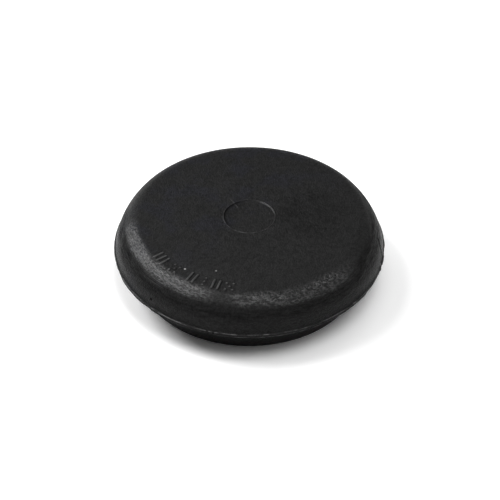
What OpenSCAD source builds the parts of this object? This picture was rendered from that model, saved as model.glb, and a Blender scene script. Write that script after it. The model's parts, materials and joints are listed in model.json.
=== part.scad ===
// Round hole plug: one moulded piece of black rubber that snaps into a round hole in
// sheet metal. The wide head covers the hole, the panel's edge sits in the groove round
// the neck, and the lip under the groove holds the plug in. The underside is hollow, so
// that the lip can fold inwards as it is pushed through.
// Millimetres, +Z up. The origin is the middle of the lip's foot, on which it stands.

/* [Head] */
// Diameter over the land, the widest part of the plug
head_d = 57.2; // [54:0.2:62]
// Height of the head above the panel, at its middle
head_h = 7.9; // [6:0.1:9.5]
// Diameter of the top face, to where the rounded side would cut it
top_d = 49; // [43:0.5:51]
// How far the middle of the top face stands above its edge
crown_h = 0.2; // [0.1:0.05:0.6]
// Radius of the rounded side
side_r = 11.4; // [9:0.2:20]
// Radius that blends the top face into the side
shoulder_r = 4; // [1:0.25:5.5]
// Height of the land, the band where the two halves of the mould meet
land_h = 0.8; // [0.4:0.1:1.5]
// How far the land stands out past the rounded side
land_step = 0.3; // [0.1:0.05:0.8]
// Radius on the land's two edges
land_edge_r = 0.1; // [0.05:0.01:0.18]

/* [Centre mark] */
// Diameter of the round mark that the mould's insert leaves in the top face
mark_d = 10.8; // [6:0.2:16]
// Depth of the mark
mark_depth = 0.2; // [0.1:0.05:0.5]

/* [Groove] */
// Diameter of the hole that the plug closes
hole_d = 44.5; // [40:0.5:47]
// Gap between the neck and the edge of the hole, on each side
neck_gap = 0.05; // [0:0.05:0.5]
// Width of the groove, which takes the panel's thickness
groove_w = 2; // [1.2:0.1:4]
// Radius in the groove's two inner corners
groove_r = 0.3; // [0.1:0.05:0.5]

/* [Lip] */
// Height of the lip, from its foot to the groove
lip_h = 5.1; // [3.5:0.1:8]
// How far the top of the lip reaches out past the neck
lip_grip = 2.7; // [1.5:0.1:4]
// How much further in the foot ends, so that it enters the hole first
lip_taper = 1.1; // [0.4:0.1:2]
// Radius on the lip's top edge
lip_edge_r = 0.6; // [0.2:0.1:0.9]
// Radius on the outside of the foot
foot_edge_r = 0.8; // [0.3:0.1:1.2]

/* [Hollow] */
// Thickness of the wall behind the neck
wall = 3.2; // [2:0.1:5]
// Thickness of the head at its middle
web = 4; // [2.5:0.1:6]
// How much wider the hollow is at its mouth than at its ceiling, on each side
hollow_draft = 0.5; // [0.1:0.1:1.2]
// Radius between the hollow's wall and its ceiling
hollow_r = 2.5; // [1:0.25:4]
// Radius on the inside of the foot
mouth_edge_r = 0.5; // [0.2:0.1:1]

/* [Hidden] */

// Steps round the axis, and along the large and small curves of the section
around = 144;
long_arc = 20;
short_arc = 8;

// How far the mark's cutter reaches past the top face
cut_clear = 1;

// Heights, from the foot up
face_z = lip_h + groove_w;
land_z = face_z + land_h;
top_z = face_z + head_h;
ceiling_z = top_z - web;

// Radii, from the outside in
head_r = head_d / 2;
side_reach = head_r - land_step;
neck_r = hole_d / 2 - neck_gap;
lip_r = neck_r + lip_grip;
foot_r = lip_r - lip_taper;
ceiling_r = neck_r - wall;
mouth_r = ceiling_r + hollow_draft;

// Radius of the arc that rises by h as it runs w sideways from its own crest
function crest_radius(w, h) = (w * w + h * h) / (2 * h);

// The top face is one shallow arc, with its crest on the axis
crown_r = crest_radius(top_d / 2, crown_h);
crown_c = [0, top_z - crown_r];

// Direction from one point to another, in degrees
function heading(a, b) = atan2(b[1] - a[1], b[0] - a[0]);

// Point that lies r0 from c0 and r1 from c1, on the left of the way from c0 to c1
function meeting(c0, r0, c1, r1) =
    let (
        apart = norm(c1 - c0),
        along = (r0 * r0 - r1 * r1 + apart * apart) / (2 * apart),
        aside = sqrt(r0 * r0 - along * along),
        way = (c1 - c0) / apart
    )
    c0 + along * way + aside * [-way[1], way[0]];

// The side is one arc too, from the top of the land to where it cuts the top face's edge
side_foot = [side_reach, land_z];
side_c = meeting(side_foot, side_r, [top_d / 2, top_z - crown_h], side_r);
side_end = heading(side_c, side_foot);

// The shoulder's arc lies inside both and touches both, so the outline has no corner there
shoulder_c = meeting(side_c, side_r - shoulder_r, crown_c, crown_r - shoulder_r);
shoulder_start = heading(crown_c, shoulder_c);
shoulder_end = heading(side_c, shoulder_c);

// Points along an arc about c, both ends included
function arc(c, r, from, to, steps) =
    [for (i = [0:steps]) let (a = from + (to - from) * i / steps) c + r * [cos(a), sin(a)]];

// Points that round the corner at p, on the way from a to b, with radius r
function rounded(a, p, b, r) =
    let (
        u = (a - p) / norm(a - p),
        v = (b - p) / norm(b - p),
        half = acos(u * v) / 2,
        c = p + (u + v) / norm(u + v) * r / sin(half),
        from = heading(c, p + u * r / tan(half)),
        turn = heading(c, p + v * r / tan(half)) - from,
        short = turn > 180 ? turn - 360 : turn < -180 ? turn + 360 : turn
    )
    arc(c, r, from, from + short, short_arc);

// Half of the section, from the middle of the top face, round the outside, and back
// through the hollow to the middle of its ceiling
module section() {
    land_top = [head_r, land_z];
    land_foot = [head_r, face_z];
    groove_top = [neck_r, face_z];
    groove_foot = [neck_r, lip_h];
    lip_top = [lip_r, lip_h];
    foot = [foot_r, 0];
    mouth = [mouth_r, 0];
    ceiling_edge = [ceiling_r, ceiling_z];
    ceiling_middle = [0, ceiling_z];
    polygon(concat(
        arc(crown_c, crown_r, 90, shoulder_start, long_arc),
        arc(shoulder_c, shoulder_r, shoulder_start, shoulder_end, short_arc),
        arc(side_c, side_r, shoulder_end, side_end, long_arc),
        rounded(side_foot, land_top, land_foot, land_edge_r),
        rounded(land_top, land_foot, groove_top, land_edge_r),
        rounded(land_foot, groove_top, groove_foot, groove_r),
        rounded(groove_top, groove_foot, lip_top, groove_r),
        rounded(groove_foot, lip_top, foot, lip_edge_r),
        rounded(lip_top, foot, mouth, foot_edge_r),
        rounded(foot, mouth, ceiling_edge, mouth_edge_r),
        rounded(mouth, ceiling_edge, ceiling_middle, hollow_r),
        [ceiling_middle]
    ));
}

// Cutter for the round mark in the middle of the top face
module mark_cutter() {
    translate([0, 0, top_z - mark_depth])
        cylinder(d = mark_d, h = mark_depth + cut_clear, $fn = around);
}

module plug() {
    color([0.17, 0.17, 0.18])
        difference() {
            rotate_extrude($fn = around) section();
            mark_cutter();
        }
}

plug();
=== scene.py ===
# %% [markdown]
# # A round hole plug of black rubber
#
# The plug closes a round hole in sheet metal. It is one moulding: a wide head with a
# rounded side, a groove for the panel's edge, a tapered lip that snaps through the hole,
# and a hollow underside. The solid model has that form already. What it lacks is what a
# mould leaves on rubber: a torn fin of flash where its halves met, raised marks, a soft
# edge round the insert's mark, and a surface that is never quite even.
#
# Everything is in metres, in the frame of the solid model, with +Z up and the plug
# standing on its lip.

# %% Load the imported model
import json
import math

import bpy
import numpy as np
from mathutils import Matrix, Vector


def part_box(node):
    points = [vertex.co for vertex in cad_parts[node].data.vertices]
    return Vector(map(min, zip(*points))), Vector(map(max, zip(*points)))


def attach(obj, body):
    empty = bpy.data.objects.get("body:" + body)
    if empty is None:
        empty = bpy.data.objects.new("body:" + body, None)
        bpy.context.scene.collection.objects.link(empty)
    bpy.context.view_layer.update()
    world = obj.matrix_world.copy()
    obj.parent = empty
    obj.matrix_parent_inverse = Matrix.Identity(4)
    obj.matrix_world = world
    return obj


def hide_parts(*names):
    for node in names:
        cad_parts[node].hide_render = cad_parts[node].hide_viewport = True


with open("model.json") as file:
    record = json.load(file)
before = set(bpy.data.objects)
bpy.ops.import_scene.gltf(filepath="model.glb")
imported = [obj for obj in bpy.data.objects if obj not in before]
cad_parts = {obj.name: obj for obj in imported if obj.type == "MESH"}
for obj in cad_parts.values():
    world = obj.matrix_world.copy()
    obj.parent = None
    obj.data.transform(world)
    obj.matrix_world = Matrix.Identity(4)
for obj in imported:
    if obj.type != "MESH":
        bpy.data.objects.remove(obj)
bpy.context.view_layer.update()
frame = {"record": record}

# %% [markdown]
# ## Sizes
#
# Lengths in this script are written in millimetres, as on a drawing, and turned into
# metres once, when a mesh or a camera is made. The widest radius comes from the packed
# solid, and the neck's radius and width come from the record's mount. The rest repeats the
# named sizes of the solid model, so that the dressed plug fits it everywhere.

# %% Sizes of the plug, in millimetres
MM = 0.001
plug_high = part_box("plug")[1]
mounts = {mount["name"]: mount for mount in frame["record"]["mounts"]}

head_r = plug_high.x / MM
neck_r = mounts["neck"]["dims"]["r_mm"]
groove_w = mounts["neck"]["dims"]["length_mm"]
lip_h = 5.1
head_h = 7.9
top_r = 24.5
crown_h = 0.2
side_r = 11.4
shoulder_r = 4.0
land_h = 0.8
land_step = 0.3
mark_r = 5.4
mark_depth = 0.2
groove_r = 0.3
lip_grip = 2.7
lip_taper = 1.1
lip_edge_r = 0.6
foot_edge_r = 0.8
wall = 3.2
web = 4.0
hollow_draft = 0.5
hollow_r = 2.5
mouth_edge_r = 0.5

face_z = lip_h + groove_w
land_z = face_z + land_h
top_z = face_z + head_h
ceiling_z = top_z - web
side_reach = head_r - land_step
lip_r = neck_r + lip_grip
foot_r = lip_r - lip_taper
ceiling_r = neck_r - wall
mouth_r = ceiling_r + hollow_draft
print(f"head {2 * head_r:.1f} mm across, {top_z:.1f} mm tall, neck {2 * neck_r:.1f} mm")

# %% [markdown]
# ## Camera
#
# The plug is seen from in front and above, from far enough away that its ellipses hardly
# narrow. A long lens does that: from twelve head radii away, a lens of about 116 mm shows
# the plug with wide white margins. The camera is given its aim directly instead of a
# constraint, because a view from another side moves it.

# %% Camera
frame_px = 500
sensor_width = 36
nearest_seen = 0.01
pixels_per_radius = 134.25
camera_reach = 12 * head_r
camera_elevation = math.radians(40.76)
camera_roll = math.radians(0.05)
aim_height = 0.15 * head_r
aim_up_px, aim_right_px = 4.75, 0.57
aim_up = aim_up_px / pixels_per_radius * head_r
aim_right = aim_right_px / pixels_per_radius * head_r

view_way = Vector((0, math.cos(camera_elevation), -math.sin(camera_elevation)))
view_up = Vector((0, math.sin(camera_elevation), math.cos(camera_elevation)))
view_right = Vector((1, 0, 0))
camera_at = Vector((0, 0, aim_height)) - camera_reach * view_way
aim_at = Vector((0, 0, aim_height)) + aim_up * view_up + aim_right * view_right

look = (aim_at - camera_at).normalized()
right = look.cross(view_up).normalized()
up = right.cross(look)
rolled = Matrix.Rotation(camera_roll, 3, look)
right, up = rolled @ right, rolled @ up
camera_turn = Matrix((right, up, -look)).transposed().to_4x4()

camera_data = bpy.data.cameras.new("camera")
camera_data.sensor_width = sensor_width
camera_data.lens = sensor_width * pixels_per_radius * camera_reach / head_r / frame_px
camera_data.clip_start = nearest_seen
camera = bpy.data.objects.new("camera", camera_data)
camera.matrix_world = Matrix.Translation(camera_at * MM) @ camera_turn
bpy.context.scene.collection.objects.link(camera)
bpy.context.scene.camera = camera
print(f"camera {camera_reach:.0f} mm away, lens {camera_data.lens:.1f} mm")

# %% [markdown]
# ## The section
#
# A moulded round part is a section turned about its axis. The section is a list of points,
# and each point starts one ring of the mesh. Where the surface carries fine detail the
# points lie close together: at the edge of the middle mark, where the raised marks stand,
# and on the land. Everywhere else they are as far apart as a smooth curve allows.
#
# The top face, the shoulder and the side are three arcs that touch one another. Their
# centres follow from the sizes, so the outline has no corner between them.

# %% Arcs and lines of the section
def arc(centre, radius, start, end, step):
    """Points along an arc, about `step` mm apart, from one angle in degrees to another."""
    count = max(3, math.ceil(abs(math.radians(end - start)) * radius / step))
    turns = np.radians(np.linspace(start, end, count + 1))
    return [(centre[0] + radius * math.cos(a), centre[1] + radius * math.sin(a)) for a in turns]


def line(start, end, step):
    """Points along a straight line, about `step` mm apart, with both ends."""
    count = max(1, math.ceil(math.dist(start, end) / step))
    return [tuple(np.array(start) + (np.array(end) - start) * i / count) for i in range(count + 1)]


def heading(start, end):
    """Direction from one point to another, in degrees."""
    return math.degrees(math.atan2(end[1] - start[1], end[0] - start[0]))


def rounded(before, corner, after, radius, step):
    """Points round a corner, on the way from one point to another."""
    before, corner, after = (np.array(p, float) for p in (before, corner, after))
    u = (before - corner) / np.linalg.norm(before - corner)
    v = (after - corner) / np.linalg.norm(after - corner)
    half = math.acos(float(u @ v)) / 2
    centre = corner + (u + v) / np.linalg.norm(u + v) * radius / math.sin(half)
    start = heading(centre, corner + u * radius / math.tan(half))
    turn = (heading(centre, corner + v * radius / math.tan(half)) - start + 180) % 360 - 180
    return arc(centre, radius, start, start + turn, step)


def meeting(first, first_r, second, second_r):
    """Where two circles meet, on the left of the way from the first centre to the second."""
    first, second = np.array(first, float), np.array(second, float)
    apart = np.linalg.norm(second - first)
    way = (second - first) / apart
    along = (first_r ** 2 - second_r ** 2 + apart ** 2) / (2 * apart)
    aside = math.sqrt(first_r ** 2 - along ** 2)
    return first + along * way + aside * np.array((-way[1], way[0]))


# %% Centres of the three arcs
crown_r = (top_r ** 2 + crown_h ** 2) / (2 * crown_h)
crown_c = np.array((0, top_z - crown_r))
side_foot = (side_reach, land_z)
side_c = meeting(side_foot, side_r, (top_r, top_z - crown_h), side_r)
side_end = heading(side_c, side_foot)
shoulder_c = meeting(side_c, side_r - shoulder_r, crown_c, crown_r - shoulder_r)
shoulder_start = heading(crown_c, shoulder_c)
shoulder_end = heading(side_c, shoulder_c)
print(f"crown arc {crown_r:.0f} mm, shoulder centre {shoulder_c.round(2)}")
print(f"side centre {side_c.round(2)}")

# %% [markdown]
# ## The middle mark and the side
#
# A round insert in the mould leaves a shallow mark in the middle of the top face. A sharp
# step would look cut, so its wall is a soft ramp. Just outside the rim the rubber dips by
# less than a tenth of a millimetre, which makes the rim read as a fine raised line.
#
# The side is made twice, once with points close together and once with points far apart.
# The fine one serves as far out as the raised marks reach, and the plain one beyond.

# %% The middle mark and the side
mark_soft = 0.22
rim_drop = 0.003
# Distance outside the rim, and depth of the dip there
rim_dip = [(0.05, 0.01), (0.1, 0.035), (0.16, 0.06), (0.24, 0.07)]
rim_dip += [(0.5, 0.07), (1.2, 0.05), (2.0, 0.02)]


def crown_at(radius):
    """Height of the top face at a radius."""
    return crown_c[1] + math.sqrt(crown_r ** 2 - radius ** 2)


def mark_step():
    """The wall of the middle mark, its rim, and the dip round it."""
    floor_z, rim_z = top_z - mark_depth, crown_at(mark_r) - rim_drop
    points = []
    for t in np.linspace(0, 1, 9):
        rise = t * t * (3 - 2 * t)
        points.append((mark_r + mark_soft * (t - 1), floor_z + rise * (rim_z - floor_z)))
    for out, drop in rim_dip:
        points.append((mark_r + out, crown_at(mark_r + out) - drop))
    return points


def outer_side(step):
    """Shoulder and side, from the edge of the top face down to the land."""
    shoulder = arc(shoulder_c, shoulder_r, shoulder_start, shoulder_end, step)
    return shoulder + arc(side_c, side_r, shoulder_end, side_end, step)[1:]


# The raised marks stand between these two radii
marks_in, marks_out = 20.7, 24.3
fine_step, plain_step = 0.085, 0.25
crown_edge = shoulder_c[0] + shoulder_r * math.cos(math.radians(shoulder_start))
fine_side = [p for p in outer_side(fine_step) if p[0] < marks_out]
plain_side = [p for p in outer_side(plain_step) if p[0] > marks_out + 0.1]

land_rows = 16
land_top, land_span = land_z + 0.04, land_h + 0.04
land_points = [(head_r, land_top - land_span * (i + 0.5) / land_rows) for i in range(land_rows)]
print(len(fine_side), "fine and", len(plain_side), "plain points on the side")

# %% [markdown]
# ## The section in zones
#
# The section runs from the middle of the top face outwards, down the side, in under the
# head, round the groove and the lip, and up into the hollow. It is cut into zones, because
# each zone needs its own number of points round the axis.

# %% Zones of the section
groove_top, groove_foot = (neck_r, face_z), (neck_r, lip_h)
lip_top, foot, mouth = (lip_r, lip_h), (foot_r, 0), (mouth_r, 0)
ceiling_edge, ceiling_middle = (ceiling_r, ceiling_z), (0, ceiling_z)
mark_z = top_z - mark_depth

zones = {
    "floor": line((0.6, mark_z), (mark_r - mark_soft - 0.15, mark_z), 0.8),
    "step": mark_step(),
    "face": [(r, crown_at(r)) for r in np.linspace(mark_r + 2.6, marks_in - 1.6, 15)],
    "marks": [(r, crown_at(r)) for r in np.linspace(marks_in - 1.4, marks_in - 0.1, 6)]
    + [(r, crown_at(r)) for r in np.arange(marks_in, crown_edge, fine_step)]
    + fine_side[1:],
    "side": plain_side[:-1],
    "land": land_points,
    "under": line((head_r - 0.2, face_z), (neck_r + 0.4, face_z), 0.7)
    + rounded((head_r, face_z), groove_top, groove_foot, groove_r, 0.12)
    + rounded(groove_top, groove_foot, lip_top, groove_r, 0.12),
    "lip": line((neck_r + 0.5, lip_h), (lip_r - 0.9, lip_h), 0.5)
    + rounded(groove_foot, lip_top, foot, lip_edge_r, 0.12)
    + line((lip_r - 0.25, lip_h - 1.2), (foot_r + 0.25, 1.2), 0.45)
    + rounded(lip_top, foot, mouth, foot_edge_r, 0.14),
    "hollow": line((foot_r - 0.9, 0), (mouth_r + 0.6, 0), 0.6)
    + rounded(foot, mouth, ceiling_edge, mouth_edge_r, 0.14)
    + line((mouth_r - 0.05, 1.1), (ceiling_r + 0.12, ceiling_z - 2.8), 0.7)
    + rounded(mouth, ceiling_edge, ceiling_middle, hollow_r, 0.4)
    + line((ceiling_r - 3.2, ceiling_z), (0.8, ceiling_z), 1.2),
}
print({name: len(points) for name, points in zones.items()})

# %% [markdown]
# ## Points round the axis
#
# A ring needs a point every degree or two to look round. The land needs four times as
# many, because its torn fin changes within a fraction of a millimetre, and the raised
# marks need a fine grid only in the sector where they stand.

# %% Angles of the rings
marks_from, marks_to = 210.0, 265.5
plain_count = 288
land_count = 4 * plain_count
fine_turn = 0.22


def even(count):
    """Angles in degrees, evenly spaced once round."""
    return np.arange(count) * 360.0 / count


plain_angles = even(plain_count)
fine_sector = np.arange(marks_from, marks_to, fine_turn)
beside = (plain_angles < marks_from - 0.3) | (plain_angles > marks_to + 0.3)
angles = {name: plain_angles for name in zones}
angles["marks"] = np.sort(np.concatenate((plain_angles[beside], fine_sector)))
angles["land"] = even(land_count)
print("points round:", {name: len(a) for name, a in angles.items()})

# %% [markdown]
# ## Uneven rubber
#
# Moulded rubber is never quite true. A wobble is a few sine waves round the axis with
# chosen phases. It closes on itself, it has no seam, and it comes out the same each run.

# %% Wobble round the axis
def wobble(turn, seed, lowest, highest):
    """Smooth variation round the axis, mostly between -1 and 1, from waves of some counts."""
    dice = np.random.RandomState(seed)
    waves = range(lowest, highest + 1)
    total = sum(
        dice.uniform(0.4, 1.0) * np.sin(wave * turn + dice.uniform(0, 2 * math.pi)) for wave in waves
    )
    return total / math.sqrt(len(waves))


def smooth(low, high, value):
    """0 below `low`, 1 above `high`, and a smooth rise between them."""
    t = np.clip((value - low) / (high - low), 0, 1)
    return t * t * (3 - 2 * t)


# %% [markdown]
# ## Raised marks
#
# What is cut into a mould stands up on the rubber. The row holds plain bars and pips that
# mean nothing. Each is a short stroke with round ends, and the surface rises where it is
# near a stroke. A displaced surface has the soft foot that rubber has, which a separate
# bar pushed through the top face would not. The row itself lies a little low, so that the
# marks end below the highest point of the plug. They are mirror-symmetric, one by one.
#
# A stroke is given in its own cell: across from the middle of the cell, and inwards from
# the middle of the row, both in millimetres.

# %% Raised marks
row_r = 22.25
relief = 0.26
row_sink = 0.13
row_ramp = 2.2
stroke_half = 0.20
stroke_soft = 0.18

bar = [(0, -1.15, 0, 1.15)]
pair = [(-0.6, -1.15, -0.6, 1.15), (0.6, -1.15, 0.6, 1.15)]
stack = [(0, v, 0, v) for v in (-1.0, 0.0, 1.0)]
five = [(u, v, u, v) for u, v in ((-0.7, -0.9), (0.7, -0.9), (0, 0), (-0.7, 0.9), (0.7, 0.9))]
# Azimuth of the middle of each cell, and what stands in it
cells = [(215.0, pair), (219.6, bar), (227.6, five), (239.2, pair)]
cells += [(246.2, stack), (252.6, pair), (259.8, five)]


def off_stroke(across, inward, stroke):
    """Distance from a stroke, in millimetres."""
    u0, v0, u1, v1 = stroke
    length = (u1 - u0) ** 2 + (v1 - v0) ** 2
    t = 0
    if length > 0:
        t = np.clip(((across - u0) * (u1 - u0) + (inward - v0) * (v1 - v0)) / length, 0, 1)
    return np.hypot(across - u0 - t * (u1 - u0), inward - v0 - t * (v1 - v0))


def raised(turn, radius):
    """Height of the raised marks and their low row, at points of the top face."""
    height = np.zeros_like(turn)
    for middle, strokes in cells:
        across = (turn - math.radians(middle)) * radius
        for stroke in strokes:
            away = off_stroke(across, row_r - radius, stroke)
            top, foot_of = stroke_half - stroke_soft / 2, stroke_half + stroke_soft
            height = np.maximum(height, 1 - smooth(top, foot_of, away))
    azimuth = np.degrees(turn)
    row = smooth(marks_in - 1.4, marks_in, radius) * (1 - smooth(23.6, marks_out, radius))
    begins = smooth(marks_from, marks_from + row_ramp, azimuth)
    ends = 1 - smooth(marks_to - row_ramp, marks_to, azimuth)
    return relief * height - row_sink * row * (begins * ends)


print(sum(len(strokes) for middle, strokes in cells), "strokes, each", relief, "mm high")

# %% [markdown]
# ## The land and its flash
#
# The two halves of the mould meet at the land. Rubber creeps between them and leaves two
# thin fins, which are torn off by hand. What stays is a band with a low, ragged ridge at
# each edge, and here and there a piece is missing. The ridges come from many waves round
# the axis, and the missing pieces are listed, because a tear is a single event.

# %% Shape of the land
body_share = 0.62
ridge_share = 0.6
# Place of each ridge on the way down the land, and its half width, as shares of the land
upper_at, upper_half = 0.16, 0.11
lower_at, lower_half = 0.86, 0.12
tear_ramp = 0.8
spare = 0.01
# Where the fin has torn deeper: from one azimuth to another, and by what share of its width
torn_out = [(326.5, 343.0, 0.55), (344.0, 346.6, 1.1), (252.0, 253.6, 0.7), (254.6, 256.0, 0.8)]
torn_out += [(351.0, 358.0, 0.35), (196.0, 203.0, 0.3), (221.0, 226.0, 0.45)]
torn_out += [(20.0, 31.0, 0.4), (95.0, 104.0, 0.5)]


def land_radius(turn, height):
    """Radius of the land at a height, round the axis, in millimetres."""
    t = (land_z - height) / land_h
    upper = 0.62 + 0.38 * wobble(turn, 3, 5, 60) * 0.5 + 0.25 * wobble(turn, 5, 60, 200) * 0.5
    lower = 0.55 + 0.45 * wobble(turn, 7, 4, 50) * 0.5 + 0.2 * wobble(turn, 9, 60, 180) * 0.5
    ridge = np.clip(upper, 0.05, 1) * np.exp(-((t - upper_at) / upper_half) ** 2)
    ridge = ridge + np.clip(lower, 0.05, 1) * np.exp(-((t - lower_at) / lower_half) ** 2)
    body = body_share + 0.10 * wobble(turn, 11, 3, 24)
    ledge = smooth(-0.06, 0.10, t)
    azimuth = np.degrees(turn)
    for start, end, depth in torn_out:
        opens = smooth(start, start + tear_ramp, azimuth)
        body = body - depth * opens * (1 - smooth(end - tear_ramp, end, azimuth))
    out = side_reach + land_step * np.clip(body + ridge_share * ridge, 0, 1) * ledge
    return np.minimum(out, head_r - spare)


print(len(torn_out), "torn places on the land")

# %% [markdown]
# ## Turning the section
#
# Each point of the section becomes a ring, moved along the surface's own direction by the
# relief of its zone. Two rings with the same angles are joined by quads. Where their
# angles differ, a zip of triangles joins them, always stepping on the ring whose next
# point comes first.

# %% Rings of the plug
side_unevenness = 0.02
turned_rings = []
names = [name for name, points in zones.items() for _ in points]
section = np.array([point for points in zones.values() for point in points], float)
tangent = np.gradient(section, axis=0)
tangent /= np.linalg.norm(tangent, axis=1)[:, None]
outward = np.column_stack((-tangent[:, 1], tangent[:, 0]))

for name, (radius, height), (out_r, out_z) in zip(names, section, outward):
    turn = np.radians(angles[name])
    radii = np.full_like(turn, radius)
    heights = np.full_like(turn, height)
    if name == "marks":
        lift = raised(turn, radius)
        radii += lift * out_r
        heights += lift * out_z
    elif name == "land":
        radii = land_radius(turn, height)
    if name in ("side", "marks"):
        uneven = side_unevenness * (1 + 0.5 * wobble(turn, 21, 2, 9))
        radii -= uneven * smooth(24.5, 26.5, radius)
    turned_rings.append(np.column_stack((radii * np.cos(turn), radii * np.sin(turn), heights)))
print(len(turned_rings), "rings")


# %% Faces between two rings
def zip_rings(first, second, first_angles, second_angles):
    """Faces between two rings, given the numbers of their points and their angles."""
    if len(first) == len(second):
        return list(zip(first, second, np.roll(second, -1), np.roll(first, -1)))
    faces = []
    i = j = 0
    while i < len(first) or j < len(second):
        next_first = first_angles[i + 1] if i + 1 < len(first) else 360 + first_angles[0]
        next_second = second_angles[j + 1] if j + 1 < len(second) else 360 + second_angles[0]
        a, b = first[i % len(first)], second[j % len(second)]
        if j >= len(second) or (i < len(first) and next_first <= next_second):
            faces.append((a, b, first[(i + 1) % len(first)]))
            i += 1
        else:
            faces.append((a, b, second[(j + 1) % len(second)]))
            j += 1
    return faces


# %% Mesh of the plug
starts = np.cumsum([0] + [len(ring) for ring in turned_rings])
ids = [np.arange(len(ring)) + start for ring, start in zip(turned_rings, starts)]
points = np.vstack(turned_rings + [[(0, 0, mark_z)], [(0, 0, ceiling_z)]])
faces = []
for k in range(len(turned_rings) - 1):
    faces += zip_rings(ids[k], ids[k + 1], angles[names[k]], angles[names[k + 1]])
top_middle, roof_middle = len(points) - 2, len(points) - 1
faces += [(top_middle, a, b) for a, b in zip(ids[0], np.roll(ids[0], -1))]
faces += [(roof_middle, b, a) for a, b in zip(ids[-1], np.roll(ids[-1], -1))]
faces = [tuple(int(v) for v in face) for face in faces]

plug_mesh = bpy.data.meshes.new("rubber_plug")
plug_mesh.from_pydata([tuple(p) for p in points * MM], [], faces)
plug_mesh.validate()
plug_mesh.polygons.foreach_set("use_smooth", [True] * len(plug_mesh.polygons))
plug_mesh.update()
plug = bpy.data.objects.new("rubber_plug", plug_mesh)
bpy.context.scene.collection.objects.link(plug)
triangles = sum(len(face) - 2 for face in faces)
print(f"plug: {len(points)} points, {triangles} triangles")

# %% [markdown]
# ## Shader arithmetic
#
# A material is a graph of nodes. Written out node by node it is hard to read, so one small
# class wraps a socket, and plain arithmetic on it adds the Math nodes. Any other node
# comes from its one method, which takes the node's type, its settings, and the values or
# links of its sockets.

# %% A socket that can be calculated with
class Wire:
    """The output of a node. Arithmetic on it adds Math nodes to the same tree."""

    def __init__(self, tree, socket=None):
        self.tree = tree
        self.socket = socket

    def node(self, kind, settings=None, inputs=None, output=0):
        """Add a node: its settings first, then the values or links of its sockets."""
        made = self.tree.nodes.new(kind)
        for name, value in (settings or {}).items():
            setattr(made, name, value)
        for name, value in (inputs or {}).items():
            if isinstance(value, Wire):
                self.tree.links.new(value.socket, made.inputs[name])
            else:
                made.inputs[name].default_value = value
        return Wire(self.tree, made.outputs[output] if made.outputs else None)

    def math(self, operation, *values):
        return self.node("ShaderNodeMath", {"operation": operation}, dict(enumerate(values)))

    def __add__(self, other):
        return self.math("ADD", self, other)

    def __sub__(self, other):
        return self.math("SUBTRACT", self, other)

    def __rsub__(self, other):
        return self.math("SUBTRACT", other, self)

    def __mul__(self, other):
        return self.math("MULTIPLY", self, other)

    def __truediv__(self, other):
        return self.math("DIVIDE", self, other)

    def __pow__(self, other):
        return self.math("POWER", self, other)

    __radd__ = __add__
    __rmul__ = __mul__


def new_material(name):
    """An empty material and a wire that starts its tree."""
    material = bpy.data.materials.new(name)
    material.use_nodes = True
    material.node_tree.nodes.clear()
    return material, Wire(material.node_tree)


# %% [markdown]
# ## Places on the rubber
#
# Wear, lint and painted shade sit in certain places: on the shoulder, on the side, along a
# scratch. A material knows a place only by its coordinates, so the first step turns those into
# millimetres and into a radius. Small functions then say how near a point is to a spot or
# a line, and which side of the plug it is on. All of them use the plug's own coordinates,
# so the finish stays where it is from every side.

# %% Coordinates of the rubber
rubber, graph = new_material("rubber")
place = graph.node("ShaderNodeTexCoord", output=3)
in_mm = graph.node("ShaderNodeVectorMath", {"operation": "SCALE"}, {0: place, "Scale": 1 / MM})
split = in_mm.node("ShaderNodeSeparateXYZ", inputs={0: in_mm})
x, y, z = (Wire(graph.tree, out) for out in split.socket.node.outputs)
radius = (x * x + y * y) ** 0.5


def step(value, low, high):
    """0 below `low`, 1 above `high`, and a smooth rise between them."""
    sockets = {"Value": value, "From Min": low, "From Max": high}
    return graph.node("ShaderNodeMapRange", {"interpolation_type": "SMOOTHSTEP"}, sockets)


def between(value, low, low_full, high_full, high):
    """1 in the middle of a range, and a smooth fall to 0 at its two ends."""
    return step(value, low, low_full) * (1 - step(value, high_full, high))


def facing(azimuth):
    """1 on the side of the plug that faces an azimuth in degrees, and -1 on the far side."""
    return (x * math.cos(math.radians(azimuth)) + y * math.sin(math.radians(azimuth))) / radius


def near(x0, y0, z0, size):
    """1 round a point, and 0 farther off than `size` mm."""
    away = (x - x0) * (x - x0) + (y - y0) * (y - y0) + (z - z0) * (z - z0)
    return 1 - step(away ** 0.5, size * 0.5, size)


def near_line(x0, y0, x1, y1, width, bend=0.0):
    """1 along a line in plan, and 0 farther off than `width` mm. It may bend with a noise."""
    length = math.hypot(x1 - x0, y1 - y0)
    ux, uy = (x1 - x0) / length, (y1 - y0) / length
    along = (x - x0) * ux + (y - y0) * uy
    along = along.math("MINIMUM", along.math("MAXIMUM", along, 0.0), length)
    aside, apart = x - x0 - along * ux, y - y0 - along * uy
    return 1 - step((aside * aside + apart * apart) ** 0.5 + bend, width * 0.3, width)


# %% [markdown]
# ## Zones of the finish
#
# The zones follow the plug's own form, so their edges are counted from the radius of the
# top face. They are soft ranges and not sharp masks, because wear has no edge. The rubbed
# shoulder lies a little farther in on the left, and the band of painted shade below it
# starts higher on the right and on the left.

# %% Zones of the finish
# Where the rubbed shoulder begins, is full, starts to fade, and is gone
shoulder_edges = (top_r - 1.4, top_r + 0.3, top_r + 1.3, top_r + 2.2)
above_land = step(z, land_z - 0.05, land_z + 0.15)
shoulder = between(radius + facing(205) * 0.4, *shoulder_edges) * above_land
flank = step(radius, top_r + 1.1, top_r + 2.3)
front = step(facing(290), 0.8, 0.95)

# Painted shade: a band below the shoulder, which starts higher on the right and the left
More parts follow.
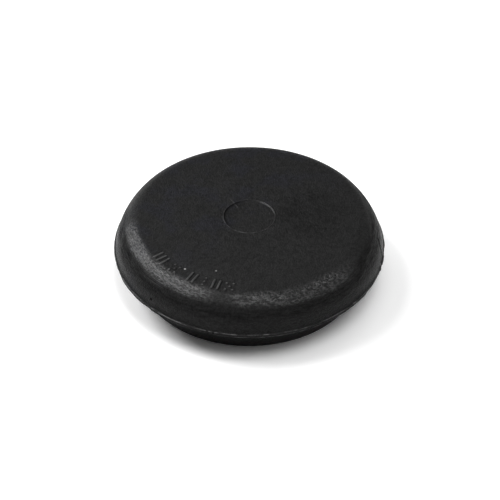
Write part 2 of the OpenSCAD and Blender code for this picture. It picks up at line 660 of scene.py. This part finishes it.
shade_band_rise = step(facing(-5), 0.72, 0.97) * 1.1 + step(facing(196), 0.8, 0.97) * 0.5
shade_band = step(radius + shade_band_rise, top_r + 1.1, top_r + 2.6)
shade_band = shade_band * (1 - step(radius, top_r + 2.5, head_r)) * above_land
in_mark = 1 - step(radius, mark_r - 0.12, mark_r)
print("places on the rubber:", len(rubber.node_tree.nodes), "nodes")

# %% [markdown]
# ## Grain and flow
#
# Every unevenness of the finish comes from a few noises. Grain and pebble are the skin
# that the mould's steel gives the rubber, cloud is the slow change of tone, and the rest
# are drawn out round the plug, because the rubber flowed that way as it filled the mould.
# To draw a noise out, its place is measured along the circle and across the section with
# two different units.

# %% Noises of the rubber
def noise(vector, scale, detail=2.0, roughness=0.5):
    """A noise between 0 and 1, with `scale` features to the millimetre."""
    sockets = {"Vector": vector, "Scale": scale, "Detail": detail, "Roughness": roughness}
    return graph.node("ShaderNodeTexNoise", {"noise_dimensions": "3D"}, sockets)


def drawn_out(length, width, detail, roughness):
    """A noise with features `length` mm long round the plug and `width` mm wide."""
    reach = top_r / length
    # Down a slope of 45 degrees, radius less height grows 1.4 times as fast as the surface
    across = (radius - z) / (1.4 * width)
    parts = {"X": x / radius * reach, "Y": y / radius * reach, "Z": across}
    return noise(graph.node("ShaderNodeCombineXYZ", inputs=parts), 1.0, detail, roughness)


cloud = noise(in_mm, 0.2, 3.0)
grain = noise(in_mm, 2.7, 3.0, 0.65)
pebble = noise(in_mm, 1.3, 2.0, 0.55)
fine_flow = drawn_out(0.62, 0.27, 2.0, 0.65)
ridges = drawn_out(0.8, 0.4, 2.0, 0.6)
flow = fine_flow * (1 - front) + ridges * front
patches = drawn_out(4.0, 1.2, 3.0, 0.6)
streaks = drawn_out(2.5, 0.4, 3.0, 0.6)
scores = drawn_out(9.0, 0.16, 1.0, 0.5)
ragged = drawn_out(1.6, 0.3, 3.0, 0.7)
print("with noises:", len(rubber.node_tree.nodes), "nodes")

# %% [markdown]
# ## Relief too fine to model
#
# Grain is a few hundredths of a millimetre deep, far too fine for the mesh, so it goes
# into the normal through one Bump node whose height is in millimetres. Flow marks are
# deeper on the shoulder, most of all at the front. A used plug also has its own small
# damage: a scratch across the middle mark, scoring low on the side, a pit and a crack.

# %% Bump of the rubber
pit_at, pit_size = (-19.84, -19.70, 9.46), 0.4
crack_ends, crack_width = (26.79, -3.53, 27.69, -5.28), 0.22
scratch_ends, scratch_width = (-3.91, 5.64, -2.41, 3.18), 0.2
scored_edges = (top_r + 1.3, top_r + 1.6, top_r + 2.0, top_r + 2.3)

pit = near(*pit_at, pit_size)
crack = near_line(*crack_ends, crack_width, (pebble - 0.5) * 0.5)
scratch = near_line(*scratch_ends, scratch_width)
scored = step(facing(221), 0.985, 0.995) * between(radius, *scored_edges)

skin = grain * (0.2 + flank * 0.15) + pebble * 0.12
flowed = flow * shoulder * (0.2 + front * 0.4)
damage = scores * scored * 0.2 + scratch * 0.08 - pit * 0.12 - crack * 0.12
relief_mm = skin + flowed + damage
bump = graph.node("ShaderNodeBump", inputs={"Strength": 1.0, "Distance": MM, "Height": relief_mm})
print("with bump:", len(rubber.node_tree.nodes), "nodes")

# %% [markdown]
# ## Tone
#
# Rubber filled with carbon black is nearly black. What makes it grey is bloom: a breath of
# wax that comes to the surface and settles on the high grain. So the tone is a mix from
# deep black to bloom, driven by the same grain as the bump, and in places the bloom is
# faintly blue. A colour goes through Mix nodes, because Math nodes would turn it grey.

# %% Tone of the rubber
def grey(value):
    """A grey, or a black, as a colour."""
    return (value, value, value, 1)


def mixed(share, first, second):
    """A colour between two others."""
    sockets = {0: share, 6: first, 7: second}
    return graph.node("ShaderNodeMix", {"data_type": "RGBA"}, sockets, output=2)


deep_black, bloom_grey, bloom_blue = grey(0.0010), grey(0.0148), (0.0138, 0.0141, 0.0176, 1)
# Less bloom in two spots on the right of the top face, so the top is darker there
right_top_dimming = near(13.0, 1.0, top_z, 9.5) * 0.16 + near(7.96, 0.98, top_z, 3.0) * 0.12
bloom = step(grain, 0.32, 0.68) * 0.6 + step(pebble, 0.36, 0.64) * 0.35 + cloud * 0.2 - right_top_dimming
bluish = step(cloud, 0.45, 0.62) * step(facing(135), -0.5, 0.4)
tone = mixed(bloom, deep_black, mixed(bluish, bloom_grey, bloom_blue))
print("with tone:", len(rubber.node_tree.nodes), "nodes")

# %% [markdown]
# ## Four finishes
#
# Matte is the rubber as it leaves the mould. Polished is where hands and boxes have rubbed
# it smooth. The third finish is painted shade, a near-black that hardly reflects. The fourth is a
# painted highlight, a light grey on torn edges, and a paler grey where lint lies. They are four
# shaders with one shared bump, mixed by shares. How much a shader reflects is then one
# number of its own, and each place takes its share of each.

# %% Finishes of the rubber
def finish(colour, roughness, specular):
    """One finish of the rubber, with the grain that all of them share."""
    sockets = {"Base Color": colour, "Roughness": roughness}
    sockets |= {"Specular IOR Level": specular, "Normal": bump}
    return graph.node("ShaderNodeBsdfPrincipled", inputs=sockets)


def blend(share, first, second):
    """A surface that is `second` in some share, and `first` in the rest."""
    return graph.node("ShaderNodeMixShader", inputs={0: share, 1: first, 2: second})


lint_at, small_lint_at = (-12.97, -16.47, 14.85), (-6.69, -17.22, 14.88)
lint = near(*lint_at, 0.3) + near(*small_lint_at, 0.25) * 0.6
matte = finish(tone, 0.5 + pebble * 0.1 - flank * 0.2, 0.12)
polished = finish(tone, 0.22 + grain * 0.2, 1.0)
# Painted shade: a near-black finish that hardly reflects
painted_shade_finish = finish(grey(0.0015), 0.7, 0.01)
# Painted highlight: a light grey on the torn edges of the land, and a paler grey for lint
torn_highlight_and_lint = finish(mixed(lint, grey(0.16), grey(0.4)), 0.8, 0.3)
print("with finishes:", len(rubber.node_tree.nodes), "nodes")

# %% [markdown]
# ## Where the rubber shines
#
# The shoulder is the first thing to be rubbed, and only its high spots are, so the shine
# is broken into speckles by the flow marks, by patches and by the grain. The tops of the
# raised marks, the rim and one side of the wall of the middle mark, the scratch and the
# scoring shine a little too.

# %% Share of the polished finish
rubbed = step(facing(218), 0.76, 0.96) + step(facing(292), 0.78, 0.98) * 0.65
speckle = step(flow, 0.4, 0.6) * (0.4 + step(patches, 0.35, 0.65) * 0.6)
speckle = speckle * (0.6 + step(grain, 0.35, 0.6) * 0.6)
rub = 0.05 + rubbed * (0.24 - front * 0.16 + speckle * 1.35)

above_crown = z + radius * radius / (2 * crown_r) - top_z
proud = step(above_crown, 0.03, 0.11)
rim = between(radius, mark_r - 0.08, mark_r, mark_r + 0.1, mark_r + 0.2)
rim = rim * (step(patches, 0.4, 0.7) * 0.35 + step(facing(-20), 0.6, 0.9) * 0.15)
bright_wall = between(radius, mark_r - 0.3, mark_r - 0.15, mark_r, mark_r + 0.1)
bright_wall = bright_wall * step(facing(40), 0.8, 0.97)

worn = shoulder * rub + proud * 0.7 + rim + bright_wall * 0.48
worn = worn + scratch * 0.3 + scored * step(scores, 0.5, 0.6) * 0.3
print("with wear:", len(rubber.node_tree.nodes), "nodes")

# %% [markdown]
# ## Painted shade, and a painted highlight where it is torn
#
# Below the shoulder runs a streaky band of painted shade. It sits a little higher on the
# left and the right. The same painted shade darkens the pit, the crack and one side of the
# hollow of the middle mark. The two edges of the land get a painted highlight, a light grey,
# in bits and pieces where the fins tore off; the lower edge gets it only at the front.

# %% Shares of the painted shade and of the painted highlight on torn edges
# Painted shade in the band, darkest at the right and left sides, and in the pit and the crack
shade_to_sides = facing(0) * facing(0)
painted_shade = shade_band * (0.16 + shade_to_sides * 0.3 + step(streaks, 0.3, 0.7) * 0.4) + pit * 0.7 + crack * 0.7
# Painted shade on the left side inside the middle mark, deepest near its wall
mark_shade = step(radius, 1.5, mark_r) * 0.2 + step(radius, mark_r - 0.7, mark_r - 0.35) * 0.3
painted_shade = painted_shade + in_mark * step(facing(165), 0.2, 0.95) * mark_shade

# Painted highlight on the torn edges of the land, in bits; the lower edge gets it only at the front
upper_edge = step(z, land_z - 0.22, land_z - 0.12)
lower_edge = (1 - step(z, face_z + 0.1, face_z + 0.2)) * front * 0.8
torn = step(radius, side_reach + 0.14, side_reach + 0.24) * step(ragged, 0.42, 0.6)
torn = torn * (upper_edge + lower_edge)
print("with soot and torn edges:", len(rubber.node_tree.nodes), "nodes")

# %% [markdown]
# ## The finished rubber
#
# The finishes lie over one another. The rubber is first rubbed, then painted shade lies on it,
# and the painted highlight of the torn edges and the lint show on top of both. The new
# mesh takes the place of the solid, rides on the same body, and keeps its material slot.

# %% The finished rubber
rubbed_rubber = blend(worn, matte, polished)
painted_shade_rubber = blend(painted_shade, rubbed_rubber, painted_shade_finish)
surface = blend(torn * 0.9 + lint, painted_shade_rubber, torn_highlight_and_lint)
graph.node("ShaderNodeOutputMaterial", inputs={"Surface": surface})
plug_mesh.materials.append(rubber)

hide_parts("plug")
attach(plug, "root")
print("rubber:", len(rubber.node_tree.nodes), "nodes")

# %% [markdown]
# ## Floor
#
# The plug stands on a plain white floor. Its colour is full white to the camera and in
# reflections, so the open floor reads as white paper, and its shadow is the lamps' own.
# What bounces back to the plug comes from a slightly greyer white, as from real paper.
# Seen from below, the floor is clear, so that the underside can be looked at.

# %% Floor
floor_half = 4000.0
full_white, paper_white = (1.1, 1.1, 1.1, 1), (0.72, 0.72, 0.72, 1)
corners = [(-floor_half, -floor_half), (floor_half, -floor_half)]
corners += [(floor_half, floor_half), (-floor_half, floor_half)]
floor_mesh = bpy.data.meshes.new("floor")
floor_mesh.from_pydata([(a * MM, b * MM, 0) for a, b in corners], [], [(0, 1, 2, 3)])
floor = bpy.data.objects.new("floor", floor_mesh)
bpy.context.scene.collection.objects.link(floor)

paper, sheet = new_material("paper")
rays = sheet.node("ShaderNodeLightPath").socket.node.outputs
seen = Wire(sheet.tree, rays["Is Camera Ray"])
for name in ("Is Glossy Ray", "Is Transmission Ray"):
    seen = seen.math("MAXIMUM", seen, Wire(sheet.tree, rays[name]))
to_camera = sheet.node("ShaderNodeBsdfDiffuse", inputs={"Color": full_white})
to_plug = sheet.node("ShaderNodeBsdfDiffuse", inputs={"Color": paper_white})
above = sheet.node("ShaderNodeMixShader", inputs={0: seen, 1: to_plug, 2: to_camera})
from_below = sheet.node("ShaderNodeNewGeometry", output=6)
clear = sheet.node("ShaderNodeBsdfTransparent")
both = sheet.node("ShaderNodeMixShader", inputs={0: from_below, 1: above, 2: clear})
sheet.node("ShaderNodeOutputMaterial", inputs={"Surface": both})
floor_mesh.materials.append(paper)
print("floor", 2 * floor_half * MM, "m across")

# %% [markdown]
# ## Light
#
# Soft lamps from above, from the left and from the right, as in a small product studio.
# Black rubber hardly scatters light. What shows its form is the lamps' reflections on the
# curves, so each lamp is placed for the part of the shoulder where it shows.

# %% Lamps and world
def lamp(name, azimuth, elevation, width, height, strength):
    """A soft lamp one metre off that faces the plug. Azimuth is counted from +X towards +Y."""
    data = bpy.data.lights.new(name, "AREA")
    data.shape = "ELLIPSE"
    data.size, data.size_y = width, height
    data.energy = strength
    a, e = math.radians(azimuth), math.radians(elevation)
    way = Vector((math.cos(e) * math.cos(a), math.cos(e) * math.sin(a), math.sin(e)))
    made = bpy.data.objects.new(name, data)
    made.location = way
    made.rotation_euler = way.to_track_quat("Z", "Y").to_euler()
    bpy.context.scene.collection.objects.link(made)


lamp("high_lamp", 312, 70, 0.5, 0.5, 4.5)
lamp("top_lamp", 90, 80, 0.6, 0.6, 2.0)
lamp("right_lamp", 325, 50, 0.6, 0.6, 1.9)
lamp("left_lamp", 150, 38, 0.5, 0.4, 3.6)
lamp("left_high_lamp", 168, 53, 0.45, 0.4, 4.2)
lamp("left_back_lamp", 125, 36, 0.6, 0.5, 1.9)
lamp("left_low_lamp", 184, 38, 0.5, 0.5, 0.8)

faint = 0.04
world = bpy.data.worlds.new("studio")
world.use_nodes = True
bpy.context.scene.world = world
background = world.node_tree.nodes["Background"].inputs
background["Color"].default_value = (1, 1, 1, 1)
background["Strength"].default_value = faint
bpy.context.scene.view_settings.view_transform = "Standard"
print(len(bpy.data.lights), "lamps")
